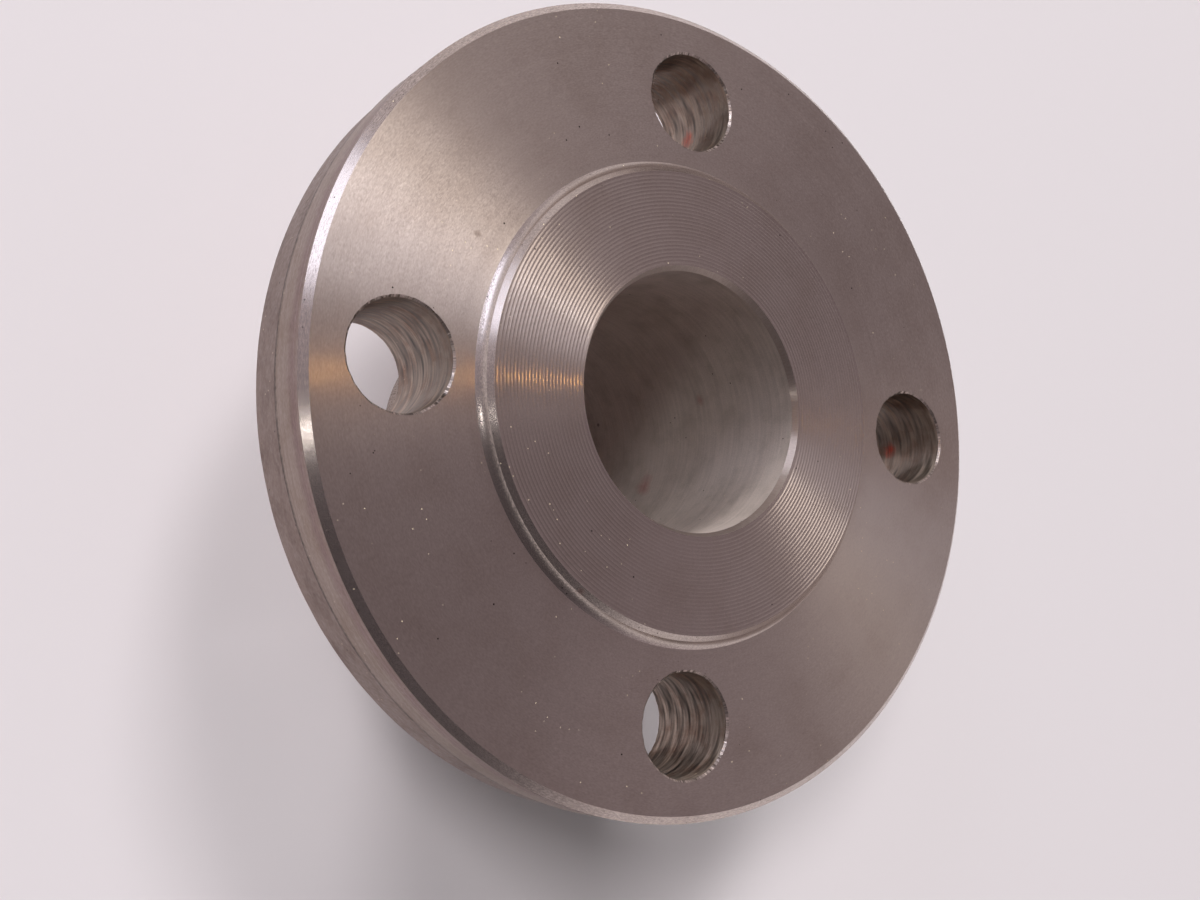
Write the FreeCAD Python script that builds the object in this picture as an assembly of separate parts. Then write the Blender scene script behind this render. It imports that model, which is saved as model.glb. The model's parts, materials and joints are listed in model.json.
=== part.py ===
import FreeCAD, Part
import math
import os

# Raised-face weld-neck pipe flange for 1 1/2 inch pipe, pressure class 150.
# One forged and turned piece. It stands on the end that is welded to the pipe:
# the centre of that end is the origin, and +Z runs along the bore to the raised face.
# All sizes are in millimetres.

# Disc and overall length
FLANGE_DIAMETER = 127.0
FLANGE_THICKNESS = 17.5
OVERALL_LENGTH = 62.0

# Raised face that carries the gasket: a flat top, and round it a sloped shoulder that is
# a chamfer at the edge and hollow at the root
RAISED_FACE_DIAMETER = 72.0
RAISED_FACE_HEIGHT = 2.0
RAISED_FACE_SHOULDER_WIDTH = 2.0
RAISED_FACE_EDGE_CHAMFER = 0.8
RAISED_FACE_ROOT_RADIUS = 3.4

# Bolt holes, with the edge broken at both faces
BOLT_CIRCLE_DIAMETER = 98.4
BOLT_HOLE_DIAMETER = 15.9
BOLT_HOLE_COUNT = 4
BOLT_HOLE_EDGE_BREAK = 0.3

# Rim of the disc: a turned band in front, and a band left as forged behind it
FACE_CHAMFER_WIDTH = 1.2
FACE_CHAMFER_DEPTH = 0.9
TURNED_BAND_LENGTH = 8.8
FORGED_BAND_STEP = 0.2
FORGED_DRAFT_ANGLE = 1.5
BACK_EDGE_BREAK = 0.6

# Tapered hub behind the disc
HUB_BASE_DIAMETER = 65.0
HUB_ROOT_RADIUS = 4.0
HUB_BLEND_RADIUS = 8.0

# Welded end, which has the pipe's outside diameter and wall
PIPE_DIAMETER = 48.3
PIPE_WALL = 3.7
WELD_END_LENGTH = 8.0
WELD_BEVEL_ANGLE = 37.5
WELD_LAND_WIDTH = 1.6

# Mouth of the bore in the raised face
BORE_MOUTH_WIDTH = 0.65
BORE_MOUTH_DEPTH = 1.0

# Radii and heights that follow from the sizes above
RIM_RADIUS = FLANGE_DIAMETER / 2
PIPE_RADIUS = PIPE_DIAMETER / 2
BORE_RADIUS = PIPE_RADIUS - PIPE_WALL
HUB_BASE_RADIUS = HUB_BASE_DIAMETER / 2
RAISED_FACE_RADIUS = RAISED_FACE_DIAMETER / 2
BOLT_CIRCLE_RADIUS = BOLT_CIRCLE_DIAMETER / 2
BOLT_HOLE_RADIUS = BOLT_HOLE_DIAMETER / 2
FACE_HEIGHT = OVERALL_LENGTH - RAISED_FACE_HEIGHT
BACK_HEIGHT = FACE_HEIGHT - FLANGE_THICKNESS
ORIGIN = FreeCAD.Vector(0, 0, 0)
AXIS = FreeCAD.Vector(0, 0, 1)
SECTION_NORMAL = FreeCAD.Vector(0, 1, 0)


def section_point(radius, height):
    """A point of the half section, in the XZ plane."""
    return FreeCAD.Vector(radius, 0, height)


def revolved(outline):
    """The solid that a closed outline sweeps when it turns once round the axis."""
    return Part.Face(outline).revolve(ORIGIN, AXIS, 360)


def circle_at(shape, radius, height):
    """The circular edge round the axis that has this radius and height."""
    tolerance = 0.001
    for edge in shape.Edges:
        if not isinstance(edge.Curve, Part.Circle):
            continue
        same_radius = abs(edge.Curve.Radius - radius) < tolerance
        same_height = abs(edge.Curve.Center.z - height) < tolerance
        if same_radius and same_height:
            return edge
    raise ValueError(f"no circle of radius {radius} at height {height}")


def weld_end_outline():
    """Points of the welded end, from the bore outwards: land, bevel and straight length."""
    land_radius = BORE_RADIUS + WELD_LAND_WIDTH
    bevel_slope = math.tan(math.radians(WELD_BEVEL_ANGLE))
    return [
        section_point(BORE_RADIUS, 0),
        section_point(land_radius, 0),
        section_point(PIPE_RADIUS, (PIPE_RADIUS - land_radius) * bevel_slope),
        section_point(PIPE_RADIUS, WELD_END_LENGTH),
    ]


def rim_outline():
    """Points of the rim, from the back forwards: broken edge, forged band, step, turned band."""
    step_height = FACE_HEIGHT - TURNED_BAND_LENGTH
    forged_radius = RIM_RADIUS - FORGED_BAND_STEP
    draft_slope = math.tan(math.radians(FORGED_DRAFT_ANGLE))
    edge_height = BACK_HEIGHT + BACK_EDGE_BREAK
    edge_radius = forged_radius - (step_height - edge_height) * draft_slope
    return [
        section_point(edge_radius - BACK_EDGE_BREAK, BACK_HEIGHT),
        section_point(edge_radius, edge_height),
        section_point(forged_radius, step_height),
        section_point(RIM_RADIUS, step_height),
        section_point(RIM_RADIUS, FACE_HEIGHT - FACE_CHAMFER_DEPTH),
        section_point(RIM_RADIUS - FACE_CHAMFER_WIDTH, FACE_HEIGHT),
    ]


def raised_face_outline():
    """Points of the raised face: both ends of the edge chamfer, and the mouth of the bore."""
    chamfer_foot_radius = RAISED_FACE_RADIUS + RAISED_FACE_EDGE_CHAMFER
    return [
        section_point(chamfer_foot_radius, OVERALL_LENGTH - RAISED_FACE_EDGE_CHAMFER),
        section_point(RAISED_FACE_RADIUS, OVERALL_LENGTH),
        section_point(BORE_RADIUS + BORE_MOUTH_WIDTH, OVERALL_LENGTH),
        section_point(BORE_RADIUS, OVERALL_LENGTH - BORE_MOUTH_DEPTH),
    ]


def hollow_root(foot, top):
    """The raised face's hollow root: an arc from the bolting face up to the edge chamfer."""
    half_chord = (top - foot) / 2
    centre_distance = math.sqrt(RAISED_FACE_ROOT_RADIUS ** 2 - half_chord.Length ** 2)
    inwards = half_chord.cross(SECTION_NORMAL).normalize()
    middle = foot + half_chord + inwards * (RAISED_FACE_ROOT_RADIUS - centre_distance)
    return Part.Arc(foot, middle, top).toShape()


def turned_body():
    """The turned and bored forging, with the corners of its hub still sharp."""
    raised_face = raised_face_outline()
    hub_base = [section_point(HUB_BASE_RADIUS, BACK_HEIGHT)]
    root_foot = section_point(RAISED_FACE_RADIUS + RAISED_FACE_SHOULDER_WIDTH, FACE_HEIGHT)
    points = raised_face + weld_end_outline() + hub_base + rim_outline() + [root_foot]
    root = hollow_root(root_foot, raised_face[0])
    return revolved(Part.Wire(Part.makePolygon(points).Edges + [root]))


def with_rounded_hub(body):
    """The body with the radii at both ends of the hub's taper."""
    corners = [
        (PIPE_RADIUS, WELD_END_LENGTH, HUB_BLEND_RADIUS),
        (HUB_BASE_RADIUS, BACK_HEIGHT, HUB_ROOT_RADIUS),
    ]
    for radius, height, corner_radius in corners:
        body = body.makeFillet(corner_radius, [circle_at(body, radius, height)])
    return body


def bolt_hole_cutter():
    """What the drill and the countersink take away at one bolt hole, standing on the axis."""
    overrun = RAISED_FACE_HEIGHT
    wide_radius = BOLT_HOLE_RADIUS + BOLT_HOLE_EDGE_BREAK + overrun
    low_centre = section_point(0, BACK_HEIGHT - overrun)
    points = [
        low_centre,
        section_point(wide_radius, BACK_HEIGHT - overrun),
        section_point(BOLT_HOLE_RADIUS, BACK_HEIGHT + BOLT_HOLE_EDGE_BREAK),
        section_point(BOLT_HOLE_RADIUS, FACE_HEIGHT - BOLT_HOLE_EDGE_BREAK),
        section_point(wide_radius, FACE_HEIGHT + overrun),
        section_point(0, FACE_HEIGHT + overrun),
    ]
    return revolved(Part.makePolygon(points + [low_centre]))


def with_bolt_holes(body):
    """The body with its bolt holes, evenly spaced, the first half a space past the X axis."""
    spacing = 360 / BOLT_HOLE_COUNT
    for number in range(BOLT_HOLE_COUNT):
        cutter = bolt_hole_cutter()
        cutter.translate(FreeCAD.Vector(BOLT_CIRCLE_RADIUS, 0, 0))
        cutter.rotate(ORIGIN, AXIS, spacing * (number + 0.5))
        body = body.cut(cutter)
    return body


def flange():
    """The finished flange."""
    return with_bolt_holes(with_rounded_hub(turned_body()))


os.makedirs("parts", exist_ok=True)
part = flange()
part.exportStep("parts/flange.step")
print(f"flange: {len(part.Solids)} solid, valid {part.isValid()}, volume {part.Volume:.1f} mm3")
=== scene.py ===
"""Looks of a raised-face weld-neck pipe flange: its turned, drilled and forged steel surfaces.

The flange is one forging, so it is one piece here too: the half section is drawn as a chain
of lines, turned round the axis and drilled by Geometry Nodes, and each stretch of the section
gets the finish that its tool or its die left on it. Sizes are in millimetres until a mesh,
a light or the camera is made, and in metres from there on.
"""

import json
import logging
import math
from abc import ABC, abstractmethod
from dataclasses import dataclass
from enum import Enum, IntEnum
from functools import cached_property

import bpy
from mathutils import Matrix, Vector


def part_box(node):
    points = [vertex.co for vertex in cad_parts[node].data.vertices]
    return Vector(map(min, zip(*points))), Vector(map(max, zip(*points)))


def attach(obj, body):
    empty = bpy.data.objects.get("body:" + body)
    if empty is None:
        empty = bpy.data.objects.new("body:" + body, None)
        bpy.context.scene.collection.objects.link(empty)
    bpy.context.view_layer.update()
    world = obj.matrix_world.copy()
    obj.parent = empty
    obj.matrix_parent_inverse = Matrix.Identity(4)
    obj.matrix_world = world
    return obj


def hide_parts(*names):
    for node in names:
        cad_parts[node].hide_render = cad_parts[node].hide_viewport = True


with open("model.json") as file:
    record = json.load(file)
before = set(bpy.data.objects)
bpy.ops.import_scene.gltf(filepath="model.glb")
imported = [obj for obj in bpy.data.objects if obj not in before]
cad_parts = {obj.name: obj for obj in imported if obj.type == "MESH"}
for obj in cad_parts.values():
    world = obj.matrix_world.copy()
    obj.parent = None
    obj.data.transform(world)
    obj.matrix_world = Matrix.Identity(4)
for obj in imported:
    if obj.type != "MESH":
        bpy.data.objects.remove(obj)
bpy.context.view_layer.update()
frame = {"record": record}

NODE = "flange"
BODY = "root"
MM = 0.001

# The curve of sRGB: the end of its straight start, that start's slope, and its offset and power
SRGB_START = 0.04045
SRGB_SLOPE = 12.92
SRGB_OFFSET = 0.055
SRGB_POWER = 2.4

# Lines that draw each arc of the section
BLEND_STEPS = 5
ROOT_STEPS = 8
RUN_OUT_STEPS = 4
SHOULDER_STEPS = 6

# Values of a noise between which a stain or a drift of dust sets in, and most of a noise lies
STAIN_EDGE = (0.45, 0.75)
DRIFT_EDGE = (0.47, 0.56)
NOISE_CORE = (0.25, 0.75)
GRAIN_CORE = (0.3, 0.7)

# How far dust is moved from the pits' pattern, and the full part of a speck's radius
DUST_SHIFT = (17.3, 5.1, 9.7)
SPECK_CORE = 0.6

# A ragged spot: its noise in each size, and where it is gone and full, in sizes
SPOT_GRAIN = 1.6
SPOT_EDGE = (1.2, 0.5)

# Change of the rings on their way round, spread of the roughness, and the quarter turn that
# lets the gloss run along the rings
RING_WANDER = 1.5
ROUGHNESS_SPREAD = 0.08
GLOSS_TURN = 0.25

# Building of the mesh: points closer than this are one, and edges flatter than this are smooth
MERGE_DISTANCE = 0.002
SMOOTH_ANGLE = 12
RELIEF_SEED = 7

# Camera
SENSOR_WIDTH = 36.0
CLIP_START = 0.01

Point = tuple[float, float]
Tree = bpy.types.NodeTree
Node = bpy.types.Node
Socket = bpy.types.NodeSocket
Value = Node | Socket | float | tuple | Vector

log = logging.getLogger("flange")


def add_node(
    tree: Tree, kind: str, inputs: dict[str | int, Value] | None = None, **settings: str | bool,
) -> Node:
    """Add a node to a tree, with its settings and its links.

    Args:
        tree: Node tree of a material, a lamp, the world or a Geometry Nodes modifier.
        kind: Blender's name of the node type.
        inputs: For each input, by name or by number, a value, or what to link to it: an output,
            or a node, which stands for the first of its outputs that is in use.
        settings: Values of the node's own properties.

    Returns:
        The new node.
    """
    node = tree.nodes.new(kind)
    for name, value in settings.items():
        setattr(node, name, value)
    for name, value in (inputs or {}).items():
        if isinstance(value, Node):
            value = next(output for output in value.outputs if output.enabled)
        if isinstance(value, Socket):
            tree.links.new(value, node.inputs[name])
        else:
            node.inputs[name].default_value = value
    return node


def linear(colour: str) -> tuple[float, float, float, float]:
    """Turn an sRGB hex colour into the linear colour that Blender's sockets take.

    Args:
        colour: The colour as "#RRGGBB".

    Returns:
        Red, green, blue and alpha.
    """
    channels = [int(colour[start:start + 2], 16) / 255 for start in (1, 3, 5)]
    red, green, blue = (
        c / SRGB_SLOPE if c <= SRGB_START else ((c + SRGB_OFFSET) / (1 + SRGB_OFFSET)) ** SRGB_POWER
        for c in channels)
    return red, green, blue, 1.0


def direction(azimuth: float, elevation: float) -> Vector:
    """Unit vector to an azimuth from +X and an elevation from the floor, in degrees."""
    turn, rise = math.radians(azimuth), math.radians(elevation)
    return Vector((
        math.cos(rise) * math.cos(turn), math.cos(rise) * math.sin(turn), math.sin(rise)))


def new_object(name: str, data: bpy.types.ID) -> bpy.types.Object:
    """Make an object and put it in the scene.

    Args:
        name: Name of the object.
        data: Its mesh, lamp or camera.

    Returns:
        The object.
    """
    made = bpy.data.objects.new(name, data)
    bpy.context.scene.collection.objects.link(made)
    return made


class Zone(IntEnum):
    """Surfaces of the flange that were made in different ways."""

    TURNED_FACE = 0
    GASKET_FACE = 1
    BRIGHT_EDGE = 2
    RIM_BAND = 3
    FORGED = 4
    BORE = 5
    WELD_END = 6
    BOLT_HOLE = 7
    HOLE_EDGE = 8


@dataclass(frozen=True)
class FlangeSizes:
    """Sizes of the flange in millimetres; z = 0 is the weld end and the raised face is on top."""

    rim_radius: float
    length: float
    bore_radius: float
    bolt_circle_radius: float
    bolt_hole_radius: float
    bolt_hole_count: int
    back_height: float
    raised_face_height: float = 2.0
    raised_face_radius: float = 36.0
    shoulder_width: float = 2.0
    shoulder_chamfer: float = 0.8
    shoulder_root_radius: float = 3.4
    face_chamfer_width: float = 1.2
    face_chamfer_depth: float = 0.9
    turned_band_length: float = 8.8
    forged_band_step: float = 0.2
    forged_draft: float = 1.5
    back_edge_break: float = 0.6
    bolt_hole_edge_break: float = 0.3
    hub_base_radius: float = 32.5
    hub_root_radius: float = 4.0
    hub_blend_radius: float = 8.0
    pipe_radius: float = 24.15
    weld_end_length: float = 8.0
    weld_bevel_angle: float = 37.5
    weld_land_width: float = 1.6
    bore_mouth_width: float = 0.65
    bore_mouth_depth: float = 1.0

    @classmethod
    def from_frame(cls, record: dict) -> "FlangeSizes":
        """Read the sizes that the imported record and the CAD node's box state.

        Args:
            record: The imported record.

        Returns:
            The sizes of the flange.
        """
        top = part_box(NODE)[1]
        mounts = {mount["name"]: mount for mount in record["mounts"]}
        bolts = mounts["bolt_holes"]["dims"]
        return cls(
            rim_radius=top.x / MM,
            length=top.z / MM,
            bore_radius=mounts["bore"]["dims"]["r_mm"],
            bolt_circle_radius=bolts["pcd_mm"] / 2,
            bolt_hole_radius=bolts["hole_r_mm"],
            bolt_hole_count=bolts["count"],
            back_height=mounts["nut_face"]["pos_m"][2] / MM,
        )

    @property
    def face_height(self) -> float:
        """Height of the bolting face, round the raised face."""
        return self.length - self.raised_face_height

    @property
    def step_height(self) -> float:
        """Height of the rim's step, between its forged band and its turned band."""
        return self.face_height - self.turned_band_length


@dataclass
class Run:
    """A stretch of an outline that has one finish."""

    zone: Zone
    points: list[Point]


def arc(centre: Point, radius: float, start: float, end: float, steps: int) -> list[Point]:
    """Points on an arc of the section.

    Args:
        centre: Distance from the axis and height of the arc's centre.
        radius: Radius of the arc.
        start: Angle of the first point in degrees, from the outward direction to the upward one.
        end: Angle of the last point.
        steps: Number of lines that draw the arc.

    Returns:
        The points, both ends included.
    """
    angles = [math.radians(start + (end - start) * step / steps) for step in range(steps + 1)]
    return [(centre[0] + radius * math.cos(a), centre[1] + radius * math.sin(a)) for a in angles]


def scoop(middle: float, half_width: float, height: float, nose: float, steps: int) -> list[Point]:
    """Hollow that a round-nosed tool leaves in a flat face, drawn from the outside inwards.

    Args:
        middle: Distance of the hollow's middle from the axis.
        half_width: Half of its width.
        height: Height of the face.
        nose: Radius of the tool's nose.
        steps: Number of lines that draw the hollow.

    Returns:
        The points, all at or below the face.
    """
    centre = (middle, height + math.sqrt(nose ** 2 - half_width ** 2))
    half_angle = math.degrees(math.asin(half_width / nose))
    return arc(centre, nose, 270 + half_angle, 270 - half_angle, steps)


def straight(start: Point, end: Point, spacing: float) -> list[Point]:
    """Points on a straight line.

    Args:
        start: Its first point.
        end: Its last point.
        spacing: About the distance between two points.

    Returns:
        The points, both ends included.
    """
    steps = max(1, round(math.dist(start, end) / spacing))
    run, rise = end[0] - start[0], end[1] - start[1]
    return [
        (start[0] + run * step / steps, start[1] + rise * step / steps)
        for step in range(steps + 1)
    ]


@dataclass(frozen=True)
class Serration:
    """The phonographic finish of the gasket face: rings left by a round-nosed tool."""

    inner_radius: float = 21.4
    pitch: float = 0.58
    count: int = 25
    nose_radius: float = 0.7
    steps: int = 6

    def outline(self, height: float) -> list[Point]:
        """Draw the rings from the outside inwards.

        Args:
            height: Height of the crests between the rings.

        Returns:
            Points of the scallops, all at or below the height.
        """
        points = []
        for ring in reversed(range(self.count)):
            middle = self.inner_radius + self.pitch * (ring + 0.5)
            scallop = scoop(middle, self.pitch / 2, height, self.nose_radius, self.steps)
            points += scallop[bool(points):]
        return points


@dataclass(frozen=True)
class Section:
    """Half section of the flange, drawn as runs of points from the weld end round to the bore."""

    sizes: FlangeSizes
    serration: Serration = Serration()
    forged_spacing: float = 1.2
    run_out_width: float = 1.3
    run_out_nose: float = 9.0

    def weld_end(self) -> list[Run]:
        """Draw the land, bevel and straight length that the pipe is welded to.

        Returns:
            The run, from the bore outwards and up.
        """
        s = self.sizes
        land = s.bore_radius + s.weld_land_width
        bevel_top = (s.pipe_radius - land) * math.tan(math.radians(s.weld_bevel_angle))
        foot = [(s.bore_radius, 0), (land, 0), (s.pipe_radius, bevel_top)]
        return [Run(Zone.WELD_END, foot + [self.hub_blend()[0]])]

    def hub_slope(self) -> float:
        """Work out how far the hub's taper leans from the axis.

        Returns:
            The angle in degrees.
        """
        s = self.sizes
        width, height = s.hub_base_radius - s.pipe_radius, s.back_height - s.weld_end_length
        return math.degrees(math.atan2(width, height))

    def hub_blend(self) -> list[Point]:
        """Draw the blend between the welded end's straight length and the hub's taper.

        Returns:
            Its points, upwards.
        """
        s = self.sizes
        slope = self.hub_slope()
        reach = s.hub_blend_radius * math.tan(math.radians(slope / 2))
        centre = (s.pipe_radius + s.hub_blend_radius, s.weld_end_length - reach)
        return arc(centre, s.hub_blend_radius, 180, 180 - slope, BLEND_STEPS)

    def hub_root(self) -> list[Point]:
        """Draw the radius between the hub's taper and the back of the disc.

        Returns:
            Its points, upwards and outwards.
        """
        s = self.sizes
        slope = self.hub_slope()
        reach = s.hub_root_radius * math.tan(math.radians((90 - slope) / 2))
        centre = (s.hub_base_radius + reach, s.back_height - s.hub_root_radius)
        return arc(centre, s.hub_root_radius, 180 - slope, 90, ROOT_STEPS)

    def hub(self) -> list[Run]:
        """Draw the forged taper of the hub, and the turned radius at its root.

        Returns:
            The two runs, upwards.
        """
        root = self.hub_root()
        blend = self.hub_blend()
        taper = straight(blend[-1], root[0], self.forged_spacing)
        return [Run(Zone.FORGED, blend + taper[1:]), Run(Zone.TURNED_FACE, root)]

    def disc(self) -> list[Run]:
        """Draw the back face, the rim's two bands, its chamfer, and the bolting face.

        Returns:
            The runs, from the hub outwards, up and back to the raised face.
        """
        s = self.sizes
        forged_radius = s.rim_radius - s.forged_band_step
        edge_height = s.back_height + s.back_edge_break
        draft = math.tan(math.radians(s.forged_draft))
        edge_radius = forged_radius - (s.step_height - edge_height) * draft
        back_edge = (edge_radius - s.back_edge_break, s.back_height)
        chamfer_start = (s.rim_radius, s.face_height - s.face_chamfer_depth)
        chamfer_end = (s.rim_radius - s.face_chamfer_width, s.face_height)
        forged_band = straight(
            (edge_radius, edge_height), (forged_radius, s.step_height), self.forged_spacing)
        return [
            Run(Zone.TURNED_FACE, [self.hub_root()[-1], back_edge]),
            Run(Zone.FORGED, [back_edge] + forged_band),
            Run(Zone.RIM_BAND, [forged_band[-1], (s.rim_radius, s.step_height), chamfer_start]),
            Run(Zone.BRIGHT_EDGE, [chamfer_start, chamfer_end]),
            Run(Zone.TURNED_FACE, [chamfer_end] + self.run_out()),
        ]

    def run_out(self) -> list[Point]:
        """Draw the shallow ring in the bolting face where the facing tool stopped.

        Returns:
            Its points, inwards to the foot of the raised face's shoulder.
        """
        s = self.sizes
        half_width = self.run_out_width / 2
        middle = s.raised_face_radius + s.shoulder_width + half_width
        return scoop(middle, half_width, s.face_height, self.run_out_nose, RUN_OUT_STEPS)

    def shoulder_root(self) -> list[Point]:
        """Draw the hollow root of the raised face's shoulder.

        Returns:
            Its points, from the bolting face up to the chamfer.
        """
        s = self.sizes
        foot = (s.raised_face_radius + s.shoulder_width, s.face_height)
        top = (s.raised_face_radius + s.shoulder_chamfer, s.length - s.shoulder_chamfer)
        half_chord = math.dist(foot, top) / 2
        reach = math.sqrt(s.shoulder_root_radius ** 2 - half_chord ** 2) / (2 * half_chord)
        centre = (
            (foot[0] + top[0]) / 2 + (top[1] - foot[1]) * reach,
            (foot[1] + top[1]) / 2 + (foot[0] - top[0]) * reach,
        )
        start, end = (
            math.degrees(math.atan2(p[1] - centre[1], p[0] - centre[0])) for p in (foot, top))
        return arc(centre, s.shoulder_root_radius, start, end, SHOULDER_STEPS)

    def raised_face(self) -> list[Run]:
        """Draw the raised face's root, chamfer and serrated top, and the bore.

        Returns:
            The runs, inwards and then down.
        """
        s = self.sizes
        root = self.shoulder_root()
        edge = (s.raised_face_radius, s.length)
        mouth = (s.bore_radius + s.bore_mouth_width, s.length)
        throat = (s.bore_radius, s.length - s.bore_mouth_depth)
        return [
            Run(Zone.BRIGHT_EDGE, root),
            Run(Zone.BRIGHT_EDGE, [root[-1], edge]),
            Run(Zone.GASKET_FACE, [edge] + self.serration.outline(s.length) + [mouth]),
            Run(Zone.TURNED_FACE, [mouth, throat]),
            Run(Zone.BORE, [throat, (s.bore_radius, 0)]),
        ]

    def drill_runs(self) -> list[Run]:
        """Draw what one bolt hole takes away, measured from the hole's own axis.

        Returns:
            The runs, upwards.
        """
        s = self.sizes
        overrun = s.raised_face_height
        radius = s.bolt_hole_radius
        wide = radius + s.bolt_hole_edge_break + overrun
        low, high = s.back_height - overrun, s.face_height + overrun
        wall = [
            (radius, s.back_height + s.bolt_hole_edge_break),
            (radius, s.face_height - s.bolt_hole_edge_break),
        ]
        return [
            Run(Zone.HOLE_EDGE, [(0, low), (wide, low), wall[0]]),
            Run(Zone.BOLT_HOLE, wall),
            Run(Zone.HOLE_EDGE, [wall[1], (wide, high), (0, high)]),
        ]

    def mesh(self) -> bpy.types.Mesh:
        """Draw all runs as loose chains of edges, each point marked with its zone.

        Returns:
            A mesh in metres with the distance from the axis along X and the height along Y.
        """
        verts, edges, zones = [], [], []
        body = self.weld_end() + self.hub() + self.disc() + self.raised_face()
        for run in body + self.drill_runs():
            first = len(verts)
            verts += [(radius * MM, height * MM, 0) for radius, height in run.points]
            edges += [(i, i + 1) for i in range(first, len(verts) - 1)]
            zones += [run.zone] * len(run.points)
        mesh = bpy.data.meshes.new("flange_section")
        mesh.from_pydata(verts, edges, [])
        mesh.attributes.new("zone", "INT", "POINT").data.foreach_set("value", zones)
        return mesh


@dataclass(frozen=True)
class Dirt:
    """Small dark pits, and pale dust that lies in drifts; sizes and spacings in millimetres."""

    pit_spacing: float = 3.0
    pit_size: float = 0.32
    pit_gaps: float = 0.5
    pit_colour: str = "#241C1A"
    dust_spacing: float = 1.3
    dust_size: float = 0.26
    dust_gaps: float = 0.7
    dust_colour: str = "#D8C4A8"
    drift_size: float = 22.0

    def over(self, tree: Tree, place: Node, colour: Node, metal_share: float) -> dict[str, Node]:
        """Scatter the pits and the dust over the metal.

        Args:
            tree: The material's node tree.
            place: Place on the flange in millimetres.
            colour: Colour of the metal.
            metal_share: Metallic share of the surface where no dust lies.

        Returns:
            The base colour and the metallic share, by the names of the shader's inputs.
        """
        pits = self.specks(tree, place, self.pit_spacing, self.pit_size, self.pit_gaps)
        shifted = add_node(
            tree, "ShaderNodeVectorMath", {0: place, 1: DUST_SHIFT}, operation="ADD")
        specks = self.specks(tree, shifted, self.dust_spacing, self.dust_size, self.dust_gaps)
        cloud = add_node(tree, "ShaderNodeTexNoise", {
            "Vector": shifted, "Scale": 1 / self.drift_size, "Detail": 1.0})
        drifts = add_node(tree, "ShaderNodeMapRange", {
            "Value": cloud, "From Min": DRIFT_EDGE[0], "From Max": DRIFT_EDGE[1]})
        dust = add_node(tree, "ShaderNodeMath", {0: specks, 1: drifts}, operation="MULTIPLY")
        pitted = add_node(
            tree, "ShaderNodeMix", {0: pits, 6: colour, 7: linear(self.pit_colour)},
            data_type="RGBA")
        return {
            "Base Color": add_node(
                tree, "ShaderNodeMix", {0: dust, 6: pitted, 7: linear(self.dust_colour)},
                data_type="RGBA"),
            "Metallic": add_node(
                tree, "ShaderNodeMath", {0: dust, 1: -metal_share, 2: metal_share},
                operation="MULTIPLY_ADD"),
        }

    def specks(self, tree: Tree, place: Node, spacing: float, size: float, gaps: float) -> Node:
        """Round specks, one at most in each cell of a Voronoi pattern.

        Args:
            tree: The material's node tree.
            place: Place on the flange in millimetres.
            spacing: Distance between the cells.
            size: Diameter of the largest specks.
            gaps: Share of the cells that stay empty.

        Returns:
            1 on a speck and 0 beside it.
        """
        edge = size / 2 / spacing
        cells = add_node(
            tree, "ShaderNodeTexVoronoi", {"Vector": place, "Scale": 1 / spacing}).outputs
        chance = add_node(tree, "ShaderNodeSeparateColor", {0: cells["Color"]})
        chosen = add_node(tree, "ShaderNodeMath", {0: chance, 1: gaps}, operation="GREATER_THAN")
        speck = add_node(tree, "ShaderNodeMapRange", {
            "Value": cells["Distance"], "From Min": edge, "From Max": edge * SPECK_CORE})
        return add_node(tree, "ShaderNodeMath", {0: chosen, 1: speck}, operation="MULTIPLY")


@dataclass(frozen=True)
class Spot:
    """A mark at one place, soft and broken at its edge; its size is in millimetres."""

    place: tuple[float, float, float]
    size: float
    colour: str
    share: float

    def tint(self, tree: Tree, place: Node, colour: Node, away: Node) -> Node:
        """Mix the spot's colour in where the distance from its middle is small.

        Args:
            tree: The material's node tree.
            place: Place on the flange in millimetres.
            colour: Colour of the metal round the spot.
            away: Distance from the middle of the spot in millimetres.

        Returns:
            The colour with the spot on it.
        """
        noise = add_node(tree, "ShaderNodeTexNoise", {
            "Vector": place, "Scale": SPOT_GRAIN / self.size, "Detail": 3.0})
        ragged = add_node(
            tree, "ShaderNodeMath", {0: noise, 1: self.size, 2: away}, operation="MULTIPLY_ADD")
        share = add_node(tree, "ShaderNodeMapRange", {
            "Value": ragged, "From Min": SPOT_EDGE[0] * self.size,
            "From Max": SPOT_EDGE[1] * self.size, "To Max": self.share})
        return add_node(
            tree, "ShaderNodeMix", {0: share, 6: colour, 7: linear(self.colour)},
            data_type="RGBA")


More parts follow.
